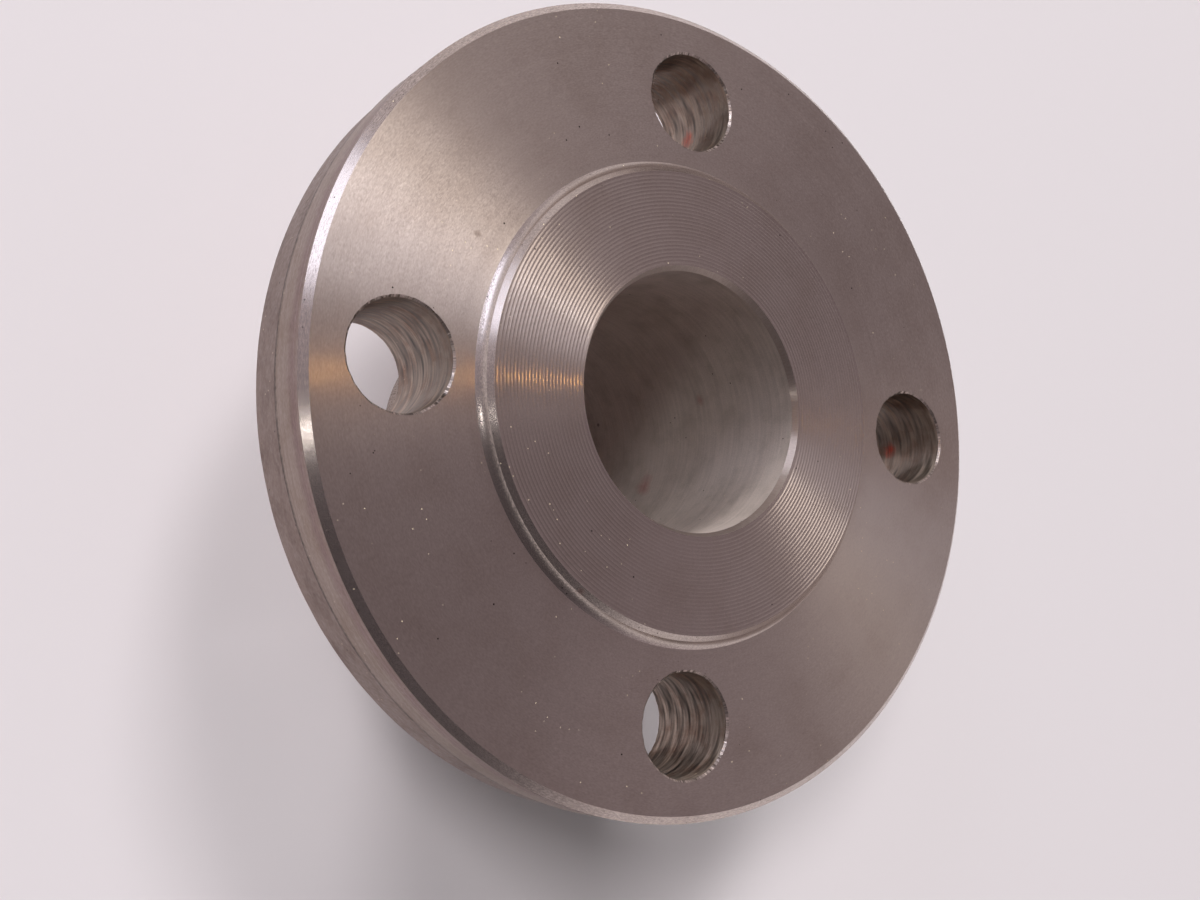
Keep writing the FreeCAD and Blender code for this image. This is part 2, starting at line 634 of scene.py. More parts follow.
@dataclass(frozen=True)
class Steel(ABC):
    """Bare carbon steel, slightly dulled: what every finish of the flange starts from.

    The colour is the metal's own, seen straight on, and the stain is the brown that thin
    oxide and old cutting oil give it in places. What isn't bare metal is dull oxide. A band
    is a spot that goes all the way round, at the height of its place.
    """

    name: str
    roughness: float
    colour: str = "#B8ABA2"
    stain: str = "#85705F"
    stain_size: float = 9.0
    stain_share: float = 0.2
    metal_share: float = 1.0
    dirt: Dirt = Dirt()
    spots: tuple[Spot, ...] = ()
    bands: tuple[Spot, ...] = ()

    def material(self) -> bpy.types.Material:
        """Make the material: metal and stains, then what the tool or the die left.

        Returns:
            The material.
        """
        material = bpy.data.materials.new(self.name)
        material.use_nodes = True
        tree = material.node_tree
        tree.nodes.clear()
        metres = add_node(tree, "ShaderNodeTexCoord").outputs["Object"]
        place = add_node(
            tree, "ShaderNodeVectorMath", {0: metres, "Scale": 1 / MM}, operation="SCALE")
        surface = self.marked(tree, place, self.stained(tree, place))
        add_node(tree, "ShaderNodeOutputMaterial", {"Surface": surface})
        return material

    def stained(self, tree: Tree, place: Node) -> Node:
        """Mix the metal's colour with its stains, spots and bands.

        Args:
            tree: The material's node tree.
            place: Place on the flange in millimetres.

        Returns:
            The colour of the metal before its tool marks.
        """
        cloud = add_node(tree, "ShaderNodeTexNoise", {
            "Vector": place, "Scale": 1 / self.stain_size, "Detail": 5.0, "Roughness": 0.6})
        share = add_node(tree, "ShaderNodeMapRange", {
            "Value": cloud, "From Min": STAIN_EDGE[0], "From Max": STAIN_EDGE[1],
            "To Max": self.stain_share})
        colour = add_node(
            tree, "ShaderNodeMix", {0: share, 6: linear(self.colour), 7: linear(self.stain)},
            data_type="RGBA")
        for spot in self.spots:
            away = add_node(
                tree, "ShaderNodeVectorMath", {0: place, 1: spot.place}, operation="DISTANCE")
            colour = spot.tint(tree, place, colour, away)
        for band in self.bands:
            height = add_node(tree, "ShaderNodeSeparateXYZ", {0: place}).outputs["Z"]
            above = add_node(
                tree, "ShaderNodeMath", {0: height, 1: band.place[2]}, operation="SUBTRACT")
            away = add_node(tree, "ShaderNodeMath", {0: above}, operation="ABSOLUTE")
            colour = band.tint(tree, place, colour, away)
        return colour

    @abstractmethod
    def marked(self, tree: Tree, place: Node, colour: Node) -> Node:
        """Make the shader: the metal's colour with the dirt and the marks of its making.

        Args:
            tree: The material's node tree.
            place: Place on the flange in millimetres.
            colour: Colour of the metal.

        Returns:
            The finished shader.
        """


@dataclass(frozen=True)
class TurnedSteel(Steel):
    """Steel cut on a lathe, with rings round an axis.

    The eye sees two bright fans that turn with the light, because each ring is smooth along
    its length and rough across it. A ring's land is the smoother part, and its flanks send the
    light further to the sides. The tool's feed of about 0.1 mm is too fine to show, so the
    short strokes of the grain are drawn twice as coarse.
    """

    flank_roughness: float = 0.38
    flank_share: float = 0.4
    flank_lean: float = 0.0
    anisotropy: float = 1.0
    grain_pitch: float = 0.2
    grain_length: float = 110.0
    grain_slope: float = 0.04
    grain_contrast: float = 0.08
    ring_pitch: float = 0.5
    ring_slope: float = 0.02
    ring_contrast: float = 0.02
    hole_circle: float = 0.0

    def marked(self, tree: Tree, place: Node, colour: Node) -> Node:
        """Cut the rings across the surface, and let the gloss run along them.

        Args:
            tree: The material's node tree.
            place: Place on the flange in millimetres.
            colour: Colour of the metal.

        Returns:
            The mix of the rings' lands and their flanks.
        """
        outward = self.from_axis(tree, place)
        level = add_node(
            tree, "ShaderNodeVectorMath", {0: (0, 0, 1), 1: outward}, operation="CROSS_PRODUCT")
        along = add_node(tree, "ShaderNodeVectorMath", {0: level}, operation="NORMALIZE")
        radius = add_node(tree, "ShaderNodeVectorMath", {0: outward}, operation="LENGTH")
        height = add_node(tree, "ShaderNodeSeparateXYZ", {0: place}).outputs["Z"]
        across = add_node(tree, "ShaderNodeMath", {0: radius, 1: height}, operation="SUBTRACT")
        rings = self.rings(tree, along, across, self.ring_pitch, RING_WANDER)
        grain = self.rings(tree, along, across, self.grain_pitch, self.grain_length)
        shade = self.spread(tree, rings, 1.0, self.ring_contrast)
        speckle = self.spread(tree, grain, 1.0, self.grain_contrast)
        light = add_node(tree, "ShaderNodeMath", {0: shade, 1: speckle}, operation="MULTIPLY")
        shaded = add_node(
            tree, "ShaderNodeVectorMath", {0: colour, "Scale": light}, operation="SCALE")
        surface = self.dirt.over(tree, place, shaded, self.metal_share)
        lands, flanks = (
            add_node(tree, "ShaderNodeBsdfPrincipled", {
                "Roughness": self.spread(tree, grain, roughness, -roughness * ROUGHNESS_SPREAD),
                "Normal": self.tilted(tree, along, rings, grain, lean),
                "Tangent": along,
                "Anisotropic": self.anisotropy,
                "Anisotropic Rotation": GLOSS_TURN,
                **surface,
            })
            for roughness, lean in ((self.roughness, 0.0), (self.flank_roughness, self.flank_lean))
        )
        return add_node(tree, "ShaderNodeMixShader", {0: self.flank_share, 1: lands, 2: flanks})

    def spread(self, tree: Tree, pattern: Node, middle: float, reach: float) -> Node:
        """Bring a pattern of 0.5 on average to a middle value, with most of it within reach."""
        return add_node(tree, "ShaderNodeMapRange", {
            "Value": pattern, "From Min": NOISE_CORE[0], "From Max": NOISE_CORE[1],
            "To Min": middle - reach, "To Max": middle + reach}, clamp=False)

    def from_axis(self, tree: Tree, place: Node) -> Node:
        """Find the way from the axis that the rings go round.

        Args:
            tree: The material's node tree.
            place: Place on the flange in millimetres.

        Returns:
            A level vector from the bore's axis or the nearest bolt hole's, in millimetres.
        """
        level = add_node(
            tree, "ShaderNodeVectorMath", {0: place, 1: (1, 1, 0)}, operation="MULTIPLY")
        if not self.hole_circle:
            return level
        quarter = add_node(tree, "ShaderNodeVectorMath", {0: level}, operation="SIGN")
        centre = add_node(
            tree, "ShaderNodeVectorMath", {0: quarter, "Scale": self.hole_circle / math.sqrt(2)},
            operation="SCALE")
        return add_node(
            tree, "ShaderNodeVectorMath", {0: level, 1: centre}, operation="SUBTRACT")

    def rings(self, tree: Tree, along: Node, across: Node, pitch: float, wander: float) -> Node:
        """Draw uneven rings that change slowly along their length.

        Args:
            tree: The material's node tree.
            along: Unit vector along the rings.
            across: Distance across the rings in millimetres.
            pitch: Distance between the rings.
            wander: How much a ring changes on its way round.

        Returns:
            A value that is 0.5 on average.
        """
        pitches = add_node(tree, "ShaderNodeMath", {0: across, 1: pitch}, operation="DIVIDE")
        lift = add_node(tree, "ShaderNodeCombineXYZ", {"Z": pitches})
        spot = add_node(
            tree, "ShaderNodeVectorMath", {0: along, 1: (wander, wander, wander), 2: lift},
            operation="MULTIPLY_ADD")
        return add_node(tree, "ShaderNodeTexNoise", {"Vector": spot, "Scale": 1.0, "Detail": 1.0})

    def tilted(self, tree: Tree, along: Node, rings: Node, grain: Node, lean: float) -> Node:
        """Tilt the surface across the rings, as their flanks are.

        Args:
            tree: The material's node tree.
            along: Unit vector along the rings.
            rings: Pattern of the rings.
            grain: Pattern of the short strokes in them.
            lean: Slope that is the same all over, positive outwards.

        Returns:
            The tilted normal.
        """
        normal = add_node(tree, "ShaderNodeNewGeometry").outputs["Normal"]
        across = add_node(
            tree, "ShaderNodeVectorMath", {0: along, 1: normal}, operation="CROSS_PRODUCT")
        coarse = self.spread(tree, rings, lean, self.ring_slope)
        fine = self.spread(tree, grain, 0.0, self.grain_slope)
        slope = add_node(tree, "ShaderNodeMath", {0: coarse, 1: fine}, operation="ADD")
        shift = add_node(
            tree, "ShaderNodeVectorMath", {0: across, "Scale": slope}, operation="SCALE")
        leant = add_node(tree, "ShaderNodeVectorMath", {0: normal, 1: shift}, operation="ADD")
        return add_node(tree, "ShaderNodeVectorMath", {0: leant}, operation="NORMALIZE")


@dataclass(frozen=True)
class ForgedSteel(Steel):
    """Steel as the forging die and the shot blast left it, with the scale gone.

    The eye sees a brown-grey mottled skin with a soft shine and shallow pits.
    """

    grain: float = 0.7
    grain_depth: float = 0.05
    swell: float = 4.0
    swell_depth: float = 0.25
    roughness_spread: float = 0.2

    def marked(self, tree: Tree, place: Node, colour: Node) -> Node:
        """Mottle the skin and raise its grain.

        Args:
            tree: The material's node tree.
            place: Place on the flange in millimetres.
            colour: Colour of the metal.

        Returns:
            The shader of the skin.
        """
        grain = add_node(tree, "ShaderNodeTexNoise", {
            "Vector": place, "Scale": 1 / self.grain, "Detail": 4.0})
        swell = add_node(tree, "ShaderNodeTexNoise", {
            "Vector": place, "Scale": 1 / self.swell, "Detail": 3.0})
        low = add_node(tree, "ShaderNodeBump", {
            "Height": swell, "Distance": self.swell_depth * MM, "Strength": 1.0})
        high = add_node(tree, "ShaderNodeBump", {
            "Height": grain, "Distance": self.grain_depth * MM, "Strength": 1.0, "Normal": low})
        roughness = add_node(tree, "ShaderNodeMapRange", {
            "Value": grain, "From Min": GRAIN_CORE[0], "From Max": GRAIN_CORE[1],
            "To Min": self.roughness * (1 + self.roughness_spread),
            "To Max": self.roughness * (1 - self.roughness_spread)})
        surface = self.dirt.over(tree, place, colour, self.metal_share)
        return add_node(tree, "ShaderNodeBsdfPrincipled", {
            "Normal": high, "Roughness": roughness, **surface})


@dataclass(frozen=True)
class Lathe:
    """Geometry Nodes tree that turns the section round the axis and drills the bolt holes.

    It has an input for the section and one for each value, a count or a length in metres.
    """

    tree: Tree
    values: dict[str, int | float]

    def build(self, finishes: dict[Zone, bpy.types.Material]) -> None:
        """Make the inputs, the output and all nodes between them.

        Args:
            finishes: The material of each zone.
        """
        kinds = {int: "NodeSocketInt", float: "NodeSocketFloat"}
        inputs = {name: kinds[type(value)] for name, value in self.values.items()}
        geometry = "NodeSocketGeometry"
        self.tree.interface.new_socket("Flange", in_out="OUTPUT", socket_type=geometry)
        for name, kind in {"Section": geometry, **inputs}.items():
            self.tree.interface.new_socket(name, in_out="INPUT", socket_type=kind)
        of_drill = self.in_zone(Zone.BOLT_HOLE, "GREATER_EQUAL")
        parts = add_node(self.tree, "GeometryNodeSeparateGeometry", {
            "Geometry": self.given["Section"], "Selection": of_drill}, domain="POINT").outputs
        drilled = add_node(self.tree, "GeometryNodeMeshBoolean", {
            "Mesh 1": self.forged(self.turned(parts["Inverted"], "Segments")),
            "Mesh 2": self.drills(self.turned(parts["Selection"], "Hole Segments")),
        }, operation="DIFFERENCE", solver="EXACT")
        dressed = add_node(self.tree, "GeometryNodeRealizeInstances", {0: drilled})
        for zone, material in finishes.items():
            dressed = add_node(self.tree, "GeometryNodeSetMaterial", {
                "Geometry": dressed, "Selection": self.in_zone(zone), "Material": material})
        add_node(self.tree, "NodeGroupOutput", {0: dressed})

    @cached_property
    def given(self) -> bpy.types.NodeOutputs:
        """What the tree's inputs give."""
        return add_node(self.tree, "NodeGroupInput").outputs

    @cached_property
    def zone(self) -> Node:
        """Zone that the section's points, and later the faces, are marked with."""
        return add_node(
            self.tree, "GeometryNodeInputNamedAttribute", {"Name": "zone"}, data_type="INT")

    def in_zone(self, zone: Zone, operation: str = "EQUAL") -> Node:
        """Whether the marked zone is this one, or compares so with it."""
        return add_node(
            self.tree, "FunctionNodeCompare", {2: self.zone, 3: int(zone)}, data_type="INT",
            operation=operation)

    def turned(self, outline: Socket, segments: str) -> Node:
        """Turn an outline once round the Z axis.

        Curve to Mesh sets the outline's X across the circle and its Y downwards, so the outline
        is moved in by the circle's radius and mirrored first, and the faces are flipped after.

        Args:
            outline: Loose chains of edges, with the distance from the axis along X.
            segments: Name of the input with the number of flat stretches round the axis.

        Returns:
            The closed mesh, with the zone kept on its faces.
        """
        carrier = self.given["Bore Radius"]
        inset = add_node(self.tree, "ShaderNodeMath", {0: 0.0, 1: carrier}, operation="SUBTRACT")
        placed = add_node(self.tree, "GeometryNodeTransform", {
            "Geometry": outline, "Scale": (1, -1, 1),
            "Translation": add_node(self.tree, "ShaderNodeCombineXYZ", {"X": inset})})
        circle = add_node(self.tree, "GeometryNodeCurvePrimitiveCircle", {
            "Resolution": self.given[segments], "Radius": carrier}, mode="RADIUS")
        turned = add_node(self.tree, "GeometryNodeCurveToMesh", {
            "Curve": circle,
            "Profile Curve": add_node(self.tree, "GeometryNodeMeshToCurve", {0: placed})})
        marked = add_node(self.tree, "GeometryNodeStoreNamedAttribute", {
            "Geometry": turned, "Name": "zone", "Value": self.zone},
            data_type="INT", domain="FACE")
        merged = add_node(self.tree, "GeometryNodeMergeByDistance", {
            "Geometry": marked, "Distance": MERGE_DISTANCE * MM})
        return add_node(self.tree, "GeometryNodeFlipFaces", {"Mesh": merged})

    def relief(self, size: str, detail: float) -> Node:
        """Lay a noise over the geometry.

        Args:
            size: Name of the input with the size of its clouds.
            detail: How many finer layers it has.

        Returns:
            The noise, 0.5 on average.
        """
        scale = add_node(self.tree, "ShaderNodeMath", {0: 1.0, 1: self.given[size]},
                         operation="DIVIDE")
        return add_node(self.tree, "ShaderNodeTexNoise", {
            "W": self.given["Seed"], "Scale": scale, "Detail": detail}, noise_dimensions="4D")

    def forged(self, body: Node) -> Node:
        """Give the forged zones their uneven skin, always inwards of the true outline.

        Args:
            body: The turned body.

        Returns:
            The body with its skin.
        """
        relief = self.relief("Forged Grain", detail=2.0)
        depth = add_node(self.tree, "ShaderNodeMath", {
            0: relief, 1: self.given["Forged Relief"]}, operation="MULTIPLY")
        inwards = add_node(self.tree, "ShaderNodeMath", {0: depth, 1: -1.0}, operation="MULTIPLY")
        normal = add_node(self.tree, "GeometryNodeInputNormal")
        offset = add_node(
            self.tree, "ShaderNodeVectorMath", {0: normal, "Scale": inwards}, operation="SCALE")
        return add_node(self.tree, "GeometryNodeSetPosition", {
            "Geometry": body, "Selection": self.in_zone(Zone.FORGED), "Offset": offset})

    def drills(self, drill: Node) -> Node:
        """Place a drill at each bolt hole, half a space from the X axis, with uneven edges.

        Args:
            drill: What one drill takes away.

        Returns:
            What all drills take away.
        """
        count = self.given["Hole Count"]
        ring = add_node(self.tree, "GeometryNodeMeshCircle", {
            "Vertices": count, "Radius": self.given["Bolt Circle Radius"]}, fill_type="NONE")
        half_space = add_node(
            self.tree, "ShaderNodeMath", {0: math.pi, 1: count}, operation="DIVIDE")
        turned = add_node(self.tree, "GeometryNodeTransform", {
            "Geometry": ring,
            "Rotation": add_node(self.tree, "ShaderNodeCombineXYZ", {"Z": half_space})})
        placed = add_node(self.tree, "GeometryNodeInstanceOnPoints", {
            "Points": turned, "Instance": drill})
        centred = add_node(self.tree, "ShaderNodeMath", {
            0: self.relief("Burr Length", detail=1.0), 1: 0.5}, operation="SUBTRACT")
        lift = add_node(
            self.tree, "ShaderNodeMath", {0: centred, 1: self.given["Burr"]},
            operation="MULTIPLY")
        return add_node(self.tree, "GeometryNodeSetPosition", {
            "Geometry": add_node(self.tree, "GeometryNodeRealizeInstances", {0: placed}),
            "Offset": add_node(self.tree, "ShaderNodeCombineXYZ", {"Z": lift})})


@dataclass
class TurnedFlange:
    """The flange as one piece: its section turned round the axis, and drilled."""

    sizes: FlangeSizes
    segments: int = 288
    hole_segments: int = 128
    forged_relief: float = 0.12
    forged_grain: float = 5.0
    burr: float = 0.44
    burr_length: float = 0.9

    def finishes(self) -> dict[Zone, bpy.types.Material]:
        """Make the finishes.

        Returns:
            The material of each zone.
        """
        circle = self.sizes.bolt_circle_radius
        grime = Spot((0.0, 0.0, self.sizes.step_height), 1.1, "#2E221C", 0.9)
        # Pinkish-purple band round the rim just below the chamfer: a painted dark reflection of the
        # surroundings.
        painted_dark_reflection = Spot((0.0, 0.0, 57.4), 2.8, "#806466", 0.6)
        rust = Spot((7.0, -36.2, 61.6), 1.3, "#95584A", 0.5)
        steels = {
            # Bolting face and nut face, faced on a lathe with a pointed tool: fine bright rings
            # that throw two fans of light, with a softer glow beside them from their flanks.
            Zone.TURNED_FACE: TurnedSteel(
                "faced_steel", 0.2, flank_roughness=0.34, flank_share=0.85, flank_lean=0.1,
                spots=(Spot((-40.7, -13.5, 60.0), 1.1, "#6A5648", 0.6),)),
            # Gasket face, cut with a round-nosed tool at a coarse feed: each groove is a small
            # hollow mirror, so that every ring shows a light line and a dark line.
            Zone.GASKET_FACE: TurnedSteel(
                "serrated_steel", 0.18, colour="#AFA29A", flank_roughness=0.36, flank_share=0.35,
                flank_lean=0.08, spots=(rust,)),
            # Chamfers and hollow shoulder, cut last with a light finishing pass: the brightest
            # and cleanest metal, which catches the lamps as thin ribbons.
            Zone.BRIGHT_EDGE: TurnedSteel(
                "bright_edge_steel", 0.2, colour="#CFC3BB", anisotropy=0.6, flank_share=0.25,
                ring_slope=0.01, grain_slope=0.05, grain_contrast=0.16,
                dirt=Dirt(pit_spacing=1.3, pit_size=0.24), spots=(rust,)),
            # Front band of the rim, rough-turned and handled since: dull brown-grey, with a line of
            # old grime where it meets the forged band, and a pinkish-purple band painted below the
            # chamfer as a dark reflection of the surroundings.
            Zone.RIM_BAND: TurnedSteel(
                "turned_rim_steel", 0.32, colour="#9E8E85", stain_size=5.0, stain_share=0.6,
                anisotropy=0.8, ring_slope=0.04, ring_contrast=0.1, bands=(grime, painted_dark_reflection)),
            # Back band of the rim and the hub's taper, as forged and shot-blasted: a darker
            # mottled skin with a soft shine.
            Zone.FORGED: ForgedSteel(
                "forged_skin_steel", 0.44, colour="#8D7C74", stain="#67524A", stain_size=5.0,
                stain_share=0.7, bands=(grime,)),
            # Bore, cut with a boring bar and dulled by a thin grey oxide: a soft sheen over grey,
            # with two red patches that are painted reflections of a red object nearby, and one
            # small dark mark.
            Zone.BORE: TurnedSteel(
                "bored_steel", 0.4, colour="#CEC0B8", stain="#91867A", stain_size=5.0,
                stain_share=0.4, metal_share=0.62, anisotropy=0.8, flank_roughness=0.65,
                flank_share=0.5, ring_slope=0.06, ring_contrast=0.08, spots=(
                    # The two red patches are painted reflections of a red object nearby.
                    Spot((18.8, 8.1, 23.1), 3.6, "#B0564E", 0.55),
                    Spot((9.4, 18.2, 38.4), 2.0, "#A0564A", 0.4),
                    Spot((9.5, 18.1, 6.6), 0.8, "#3A302C", 0.8))),
            # Weld bevel, land and straight end, turned clean for the welder: plain bright rings.
            Zone.WELD_END: TurnedSteel("bevelled_steel", 0.28, anisotropy=0.8),
            # Bolt-hole walls, left by a twist drill: coarse uneven rings, brown in between, with a
            # red patch in two of the holes that is a painted reflection of a red object nearby.
            Zone.BOLT_HOLE: TurnedSteel(
                "drilled_steel", 0.34, colour="#A09287", stain="#7A5E50", stain_size=3.5,
                stain_share=0.9, metal_share=0.8, anisotropy=0.8, ring_pitch=0.6, ring_slope=0.3,
                ring_contrast=0.7, hole_circle=circle, spots=(
                    # Red patches painted in as reflections of a red object nearby.
                    Spot((40.3, 40.5, 48.1), 2.2, "#C8503C", 0.9),
                    Spot((-28.6, 39.8, 49.0), 2.4, "#C05A48", 0.85))),
            # Broken edges of the bolt holes, made with a hand tool: an uneven, sparkling line.
            Zone.HOLE_EDGE: TurnedSteel(
                "deburred_edge_steel", 0.3, anisotropy=0.3, ring_slope=0.2, grain_pitch=0.4,
                grain_length=45.0, grain_slope=0.4, grain_contrast=0.5, hole_circle=circle),
        }
        return {zone: steel.material() for zone, steel in steels.items()}

    def values(self) -> dict[str, int | float]:
        """List the counts and the lengths that the lathe takes.

        Returns:
            The values by the names of the lathe's inputs, with lengths in metres.
        """
        lengths = {
            "Bore Radius": self.sizes.bore_radius,
            "Bolt Circle Radius": self.sizes.bolt_circle_radius,
            "Forged Relief": self.forged_relief,
            "Forged Grain": self.forged_grain,
            "Burr": self.burr,
            "Burr Length": self.burr_length,
        }
        return {
            "Segments": self.segments,
            "Hole Segments": self.hole_segments,
            "Hole Count": self.sizes.bolt_hole_count,
            "Seed": RELIEF_SEED,
            **{name: length * MM for name, length in lengths.items()},
        }

    def build(self) -> bpy.types.Object:
        """Turn, drill and dress the flange.

        Returns:
            The finished piece, a plain mesh at the origin.
        """
        piece = new_object("turned_flange", Section(self.sizes).mesh())
        modifier = piece.modifiers.new("turning", "NODES")
        values = self.values()
        modifier.node_group = bpy.data.node_groups.new("turn_and_drill", "GeometryNodeTree")
        Lathe(modifier.node_group, values).build(self.finishes())
        for item in modifier.node_group.interface.items_tree:
            if item.name in values:
                modifier[item.identifier] = values[item.name]
        evaluated = piece.evaluated_get(bpy.context.evaluated_depsgraph_get())
        mesh = bpy.data.meshes.new_from_object(evaluated)
        for number in reversed(range(len(mesh.materials))):
            if mesh.materials[number] is None:
                mesh.materials.pop(index=number)
        piece.modifiers.remove(modifier)
        piece.data = mesh
        mesh.name = "turned_flange"
        mesh.shade_smooth()
        mesh.set_sharp_from_angle(angle=math.radians(SMOOTH_ANGLE))
        return piece


@dataclass(frozen=True)
class Camera:
    """The camera at the photograph's viewing angle; places are in millimetres."""

    position: tuple[float, float, float] = (-59.48, -116.91, 217.21)
    aim: tuple[float, float, float] = (-5.11, -18.41, 60.0)
    roll: float = 77.96
    lens: float = 39.525

    def build(self) -> None:
        """Make the camera and set it as the scene's own."""
        place = Vector(self.position)
        forward = (Vector(self.aim) - place).normalized()
        level = forward.cross(Vector((0, 0, 1))).normalized()
        upright = level.cross(forward)
        turn = math.radians(self.roll)
        right = level * math.cos(turn) + upright * math.sin(turn)
        data = bpy.data.cameras.new("photo_camera")
        data.lens = self.lens
        data.sensor_width = SENSOR_WIDTH
        data.clip_start = CLIP_START
        camera = new_object("photo_camera", data)
        axes = Matrix((right, right.cross(forward), -forward)).transposed().to_4x4()
        camera.matrix_world = Matrix.Translation(place * MM) @ axes
        bpy.context.scene.camera = camera


class Lights(Enum):
    """What a lamp lights: the floor's paper, the flange's metal, or both."""

    PAPER = "paper"
    METAL = "metal"
    BOTH = "both"


@dataclass(frozen=True)
class Softbox:
    """A soft studio lamp that faces the disc; its sizes are in metres."""

    name: str
    azimuth: float
    elevation: float
    distance: float
    width: float
    height: float
    light_on_floor: float
    lights: Lights = Lights.BOTH
    colour: str = "#FFFFFF"
    far_colour: str = ""
    edge: float = 0.25

    def build(self, target: Vector) -> None:
        """Place the lamp so that it adds about the stated share of a white level to the floor.

        Args:
            target: The point that the lamp faces, in metres.
        """
        towards = direction(self.azimuth, self.elevation)
        data = bpy.data.lights.new(self.name, "AREA")
        data.shape = "RECTANGLE"
        data.size = self.width
        data.size_y = self.height
        evenness = (1 - self.edge) ** 2
        spread = math.pi ** 2 * self.distance ** 2 / towards.z / evenness
        data.energy = self.light_on_floor * spread
        self.diffuse(data)
        lamp = new_object(self.name, data)
        turn = towards.to_track_quat("Z", "Y").to_matrix().to_4x4()
        lamp.matrix_world = Matrix.Translation(target + towards * self.distance) @ turn
        lamp.visible_camera = False
        lamp.visible_glossy = self.lights is not Lights.PAPER
        lamp.visible_diffuse = self.lights is not Lights.METAL

    def diffuse(self, data: bpy.types.AreaLight) -> None:
        """Let the lamp fade towards its edges, and change its colour from one end to the other.

        Args:
            data: The lamp's data.
        """
        data.use_nodes = True
        tree = data.node_tree
        tree.nodes.clear()
        spot = add_node(tree, "ShaderNodeNewGeometry").outputs["Parametric"]
        centred = add_node(
            tree, "ShaderNodeVectorMath", {0: spot, 1: (0.5, 0.5, 0)}, operation="SUBTRACT")
        outwards = add_node(tree, "ShaderNodeVectorMath", {0: centred}, operation="ABSOLUTE")
        sides = add_node(tree, "ShaderNodeSeparateXYZ", {0: outwards}).outputs
        across, along = (
            add_node(tree, "ShaderNodeMapRange", {
                "Value": sides[axis], "From Min": 0.5, "From Max": 0.5 - self.edge},
                interpolation_type="SMOOTHSTEP")
            for axis in "XY"
        )
        fade = add_node(tree, "ShaderNodeMath", {0: across, 1: along}, operation="MULTIPLY")
        end = add_node(tree, "ShaderNodeSeparateXYZ", {0: spot}).outputs["Y"]
        colour = add_node(
            tree, "ShaderNodeMix",
            {0: end, 6: linear(self.colour), 7: linear(self.far_colour or self.colour)},
            data_type="RGBA")
        glow = add_node(tree, "ShaderNodeEmission", {"Color": colour, "Strength": fade})
        add_node(tree, "ShaderNodeOutputLight", {"Surface": glow})


@dataclass(frozen=True)
class Patch:
    """A soft-edged part of the surround, round a direction; its spreads are in degrees."""

    azimuth: float
    elevation: float
    core: float
    reach: float
    level: float

    def share(self, tree: Tree, ray: Socket) -> Node:
        """Tell how far a direction lies in the patch.

        Args:
            tree: The world's node tree.
            ray: Unit vector that the surround is seen along.

        Returns:
            1 inside the patch's core, 0 past its reach, and smooth between them.
        """
        facing = add_node(
            tree, "ShaderNodeVectorMath", {0: ray, 1: direction(self.azimuth, self.elevation)},
            operation="DOT_PRODUCT")
        return add_node(tree, "ShaderNodeMapRange", {
            "Value": facing, "From Min": math.cos(math.radians(self.reach)),
            "From Max": math.cos(math.radians(self.core))}, interpolation_type="SMOOTHSTEP")


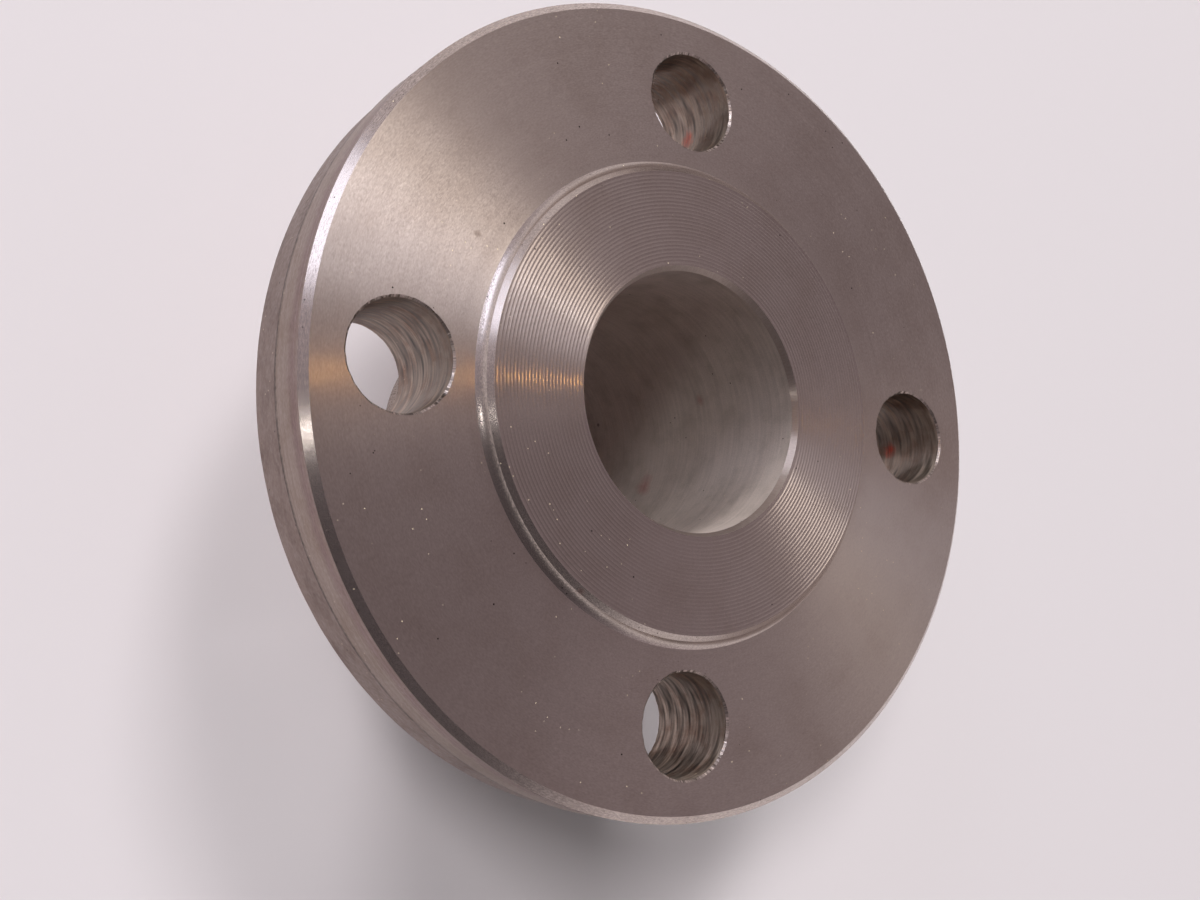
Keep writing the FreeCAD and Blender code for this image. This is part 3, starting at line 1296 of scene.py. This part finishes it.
@dataclass(frozen=True)
class Studio:
    """Plain pale floor, soft lamps, and a surround that is pale low down and dimmer overhead.

    The side that the camera stands on is dark, as the room behind a photographer is, but for a
    pale strip above the floor, so that floor and surround meet without an edge. A rise is the
    height of a direction of length 1.
    """

    floor_colour: str = "#E5DCDF"
    floor_glow: float = 0.08
    floor_size: float = 30.0
    floor_fade: tuple[float, float] = (0.7, 2.6)
    horizon_colour: str = "#DED6D8"
    pale_rise: tuple[float, float] = (0.06, 0.2)
    overhead_colour: str = "#A0949B"
    overhead_rise: tuple[float, float] = (0.12, 0.5)
    bright_side: Patch = Patch(125, 52, 5, 40, 0.17)
    dark_side: Patch = Patch(278, 28, 25, 62, 0.78)
    fill_side: Patch = Patch(60, 35, 30, 80, 0.2)
    fill_level: float = 0.02
    lamps: tuple[Softbox, ...] = (
        Softbox("key_panel", 108, 60.5, 1.2, 0.9, 0.24, 0.05, Lights.METAL, "#FFF8EE", "#FFFCF8"),
        Softbox("near_panel", 168.6, 54.1, 1.2, 0.6, 0.12, 0.095, Lights.METAL, "#EEF2FF"),
        Softbox("side_panel", 183, 29, 0.8, 0.48, 0.3, 0.05, Lights.BOTH, "#E2EAFF"),
        Softbox("far_window", 229, 39, 1.2, 0.1, 0.1, 0.012, Lights.METAL),
        Softbox(
            "warm_lamp", 143.2, 78.3, 0.139, 0.005, 0.005, 0.0145, Lights.METAL, "#FFC468"),
        Softbox("low_window", 140, 14, 8.0, 2.53, 2.0, 0.25, Lights.PAPER),
        Softbox("high_window", 140, 50, 8.0, 2.53, 2.0, 0.29, Lights.PAPER),
        Softbox("side_window", 200, 50, 8.0, 2.53, 2.0, 0.32, Lights.PAPER),
    )

    def seen(self, tree: Tree) -> Node:
        """Tell what is seen from what only lights.

        Args:
            tree: Node tree of the floor's material or of the world.

        Returns:
            1 for what the eye, metal and glass see, and 0 for what lights other surfaces.
        """
        path = add_node(tree, "ShaderNodeLightPath").outputs
        seen = add_node(
            tree, "ShaderNodeMath", {0: path["Is Camera Ray"], 1: path["Is Glossy Ray"]},
            operation="MAXIMUM")
        return add_node(
            tree, "ShaderNodeMath", {0: seen, 1: path["Is Transmission Ray"]},
            operation="MAXIMUM")

    def floor(self) -> None:
        """Make the floor that the flange stands on: pale paper that keeps a soft shadow.

        Far away it fades into the surround's colour, so that no horizon shows.
        """
        half = self.floor_size / 2
        corners = [(-half, -half, 0), (half, -half, 0), (half, half, 0), (-half, half, 0)]
        mesh = bpy.data.meshes.new("floor")
        mesh.from_pydata(corners, [], [(0, 1, 2, 3)])
        material = bpy.data.materials.new("pale_paper")
        material.use_nodes = True
        tree = material.node_tree
        tree.nodes.clear()
        paper = add_node(tree, "ShaderNodeBsdfDiffuse", {"Color": linear(self.floor_colour)})
        glow = add_node(tree, "ShaderNodeEmission", {
            "Color": linear(self.horizon_colour), "Strength": 1.0})
        place = add_node(tree, "ShaderNodeTexCoord").outputs["Object"]
        away = add_node(tree, "ShaderNodeVectorMath", {0: place}, operation="LENGTH")
        faded = add_node(tree, "ShaderNodeMapRange", {
            "Value": away, "From Min": self.floor_fade[0], "From Max": self.floor_fade[1],
            "To Min": self.floor_glow}, interpolation_type="SMOOTHSTEP")
        share = add_node(
            tree, "ShaderNodeMath", {0: self.seen(tree), 1: faded}, operation="MULTIPLY")
        both = add_node(tree, "ShaderNodeMixShader", {0: share, 1: paper, 2: glow})
        add_node(tree, "ShaderNodeOutputMaterial", {"Surface": both})
        mesh.materials.append(material)
        new_object("floor", mesh)

    def surround(self) -> None:
        """Light the scene evenly, and show one and the same surround to the eye and the metal."""
        world = bpy.data.worlds.new("surround")
        world.use_nodes = True
        bpy.context.scene.world = world
        tree = world.node_tree
        tree.nodes.clear()
        ray = add_node(tree, "ShaderNodeTexCoord").outputs["Generated"]
        rise = add_node(tree, "ShaderNodeSeparateXYZ", {0: ray}).outputs["Z"]
        overhead = add_node(tree, "ShaderNodeMapRange", {
            "Value": rise, "From Min": self.overhead_rise[0], "From Max": self.overhead_rise[1]},
            interpolation_type="SMOOTHSTEP")
        sky = add_node(
            tree, "ShaderNodeMix",
            {0: overhead, 6: linear(self.horizon_colour), 7: linear(self.overhead_colour)},
            data_type="RGBA")
        bright = self.raised(tree, self.bright_side, ray, 0.0)
        lit = add_node(tree, "ShaderNodeVectorMath", {0: sky, 1: bright}, operation="ADD")
        loss = add_node(tree, "ShaderNodeMapRange", {
            "Value": rise, "From Min": self.pale_rise[0], "From Max": self.pale_rise[1],
            "To Max": -self.dark_side.level}, interpolation_type="SMOOTHSTEP")
        kept = add_node(
            tree, "ShaderNodeMath", {0: self.dark_side.share(tree, ray), 1: loss, 2: 1.0},
            operation="MULTIPLY_ADD")
        dimmed = add_node(tree, "ShaderNodeVectorMath", {0: lit, "Scale": kept}, operation="SCALE")
        shown = add_node(tree, "ShaderNodeBackground", {"Color": dimmed, "Strength": 1.0})
        fill = add_node(tree, "ShaderNodeBackground", {
            "Color": (1, 1, 1, 1),
            "Strength": self.raised(tree, self.fill_side, ray, self.fill_level)})
        both = add_node(tree, "ShaderNodeMixShader", {0: self.seen(tree), 1: fill, 2: shown})
        add_node(tree, "ShaderNodeOutputWorld", {"Surface": both})

    def raised(self, tree: Tree, patch: Patch, ray: Socket, base: float) -> Node:
        """A base level, with the level of a patch added where the patch is."""
        return add_node(
            tree, "ShaderNodeMath", {0: patch.share(tree, ray), 1: patch.level, 2: base},
            operation="MULTIPLY_ADD")

    def build(self, target: Vector) -> None:
        """Make the floor, the surround and the lamps.

        Args:
            target: The point that the lamps face, in metres.
        """
        self.floor()
        self.surround()
        for lamp in self.lamps:
            lamp.build(target)


def main() -> None:
    """Build the flange, the studio and the camera, in that order."""
    logging.basicConfig(level=logging.INFO, format="%(name)s: %(message)s")
    sizes = FlangeSizes.from_frame(frame["record"])
    piece = TurnedFlange(sizes).build()
    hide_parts(NODE)
    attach(piece, BODY)
    log.info("%s: %d faces", piece.name, len(piece.data.polygons))
    Studio().build(Vector((0, 0, sizes.face_height * MM)))
    log.info("studio ready")
    Camera().build()
    bpy.context.scene.view_settings.view_transform = "Standard"


if __name__ == "__main__":
    main()
